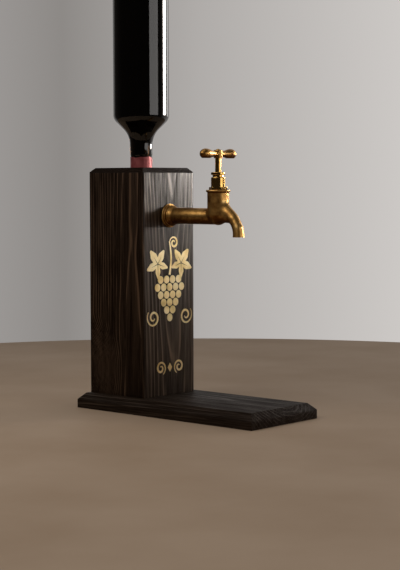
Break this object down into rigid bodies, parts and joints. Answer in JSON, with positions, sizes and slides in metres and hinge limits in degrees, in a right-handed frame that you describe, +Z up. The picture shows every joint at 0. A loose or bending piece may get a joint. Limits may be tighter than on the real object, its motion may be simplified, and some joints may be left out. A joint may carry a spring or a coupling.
{
  "type": "drink dispenser",
  "caption": "Wooden stand with a brass bib tap that pours from an upturned bottle; the tee handle screws a valve off its seat and the bottle lifts out of its socket.",
  "frame": {"origin": "centre of the underside of the base board, on the table top", "axes": "+Z up, -Y the way the tap points, +X to the right as seen from the tap's side"},
  "size_m": [0.132, 0.302, 0.581],
  "materials": {
    "base_wood": "dark stained pine, satin oil",
    "tower_wood": "dark stained brushed pine, satin oil",
    "plain_wood": "bare pine, sanded",
    "gold_foil": "pale gold leaf, satin",
    "cast_brass": "aged cast brass, satin with darker hollows",
    "turned_brass": "turned brass, polished",
    "bright_brass": "plain machined brass",
    "black_rubber": "black sheet rubber",
    "stopper_rubber": "pale food-grade rubber",
    "red_fibre": "pressed red fibre",
    "white_packing": "white low-friction packing",
    "zinc_steel": "yellow zinc-plated steel",
    "bronze_steel": "browned steel",
    "tube_steel": "stainless steel tube",
    "bottle_glass": "very dark glass over red wine, glossy",
    "capsule_foil": "wine-red shrunk foil, satin"
  },
  "bodies": {
    "stand": {"base_board": "base_wood", "front_board": "tower_wood", "left_board": "tower_wood", "right_board": "tower_wood", "back_board": "tower_wood", "top_board": "tower_wood", "socket_block": "plain_wood", "foot_block": "plain_wood", "base_screws": "zinc_steel", "back_screws": "bronze_steel", "front_ornament": "gold_foil", "lower_ornament": "gold_foil", "tap_body": "cast_brass", "wall_flange": "cast_brass", "wall_washer": "black_rubber", "backing_washer": "bright_brass", "back_nut": "bright_brass", "elbow_washer": "black_rubber", "outlet_elbow": "bright_brass", "bottle_stopper": "stopper_rubber", "vent_tube": "tube_steel", "bonnet": "turned_brass", "bonnet_washer": "red_fibre", "gland_washer": "bright_brass", "gland_packing": "white_packing", "gland_nut": "turned_brass"},
    "valve": {"valve_washer": "black_rubber", "jumper_valve": "bright_brass", "washer_nut": "bright_brass"},
    "handle": {"spindle": "turned_brass", "tee_handle": "cast_brass", "handle_screw": "turned_brass"},
    "bottle": {"bottle_neck": "bottle_glass", "bottle_body": "bottle_glass", "bottle_foot": "bottle_glass", "bottle_capsule": "capsule_foil"}
  },
  "joints": [
    {"name": "valve_lift", "type": "slide", "parent": "stand", "child": "valve", "axis": [0, 0, 1], "range_m": [0, 0.005]},
    {"name": "handle_turn", "type": "hinge", "parent": "valve", "child": "handle", "pos_m": [0, -0.042, 0.331], "axis": [0, 0, 1], "range_deg": [0, 720]},
    {"name": "bottle_lift", "type": "slide", "parent": "stand", "child": "bottle", "axis": [0, 0, 1], "range_m": [0, 0.12]}
  ],
  "couplings": [
    {"joint": "valve_lift", "follows": "handle_turn", "m_per_rad": 0.000397}
  ]
}
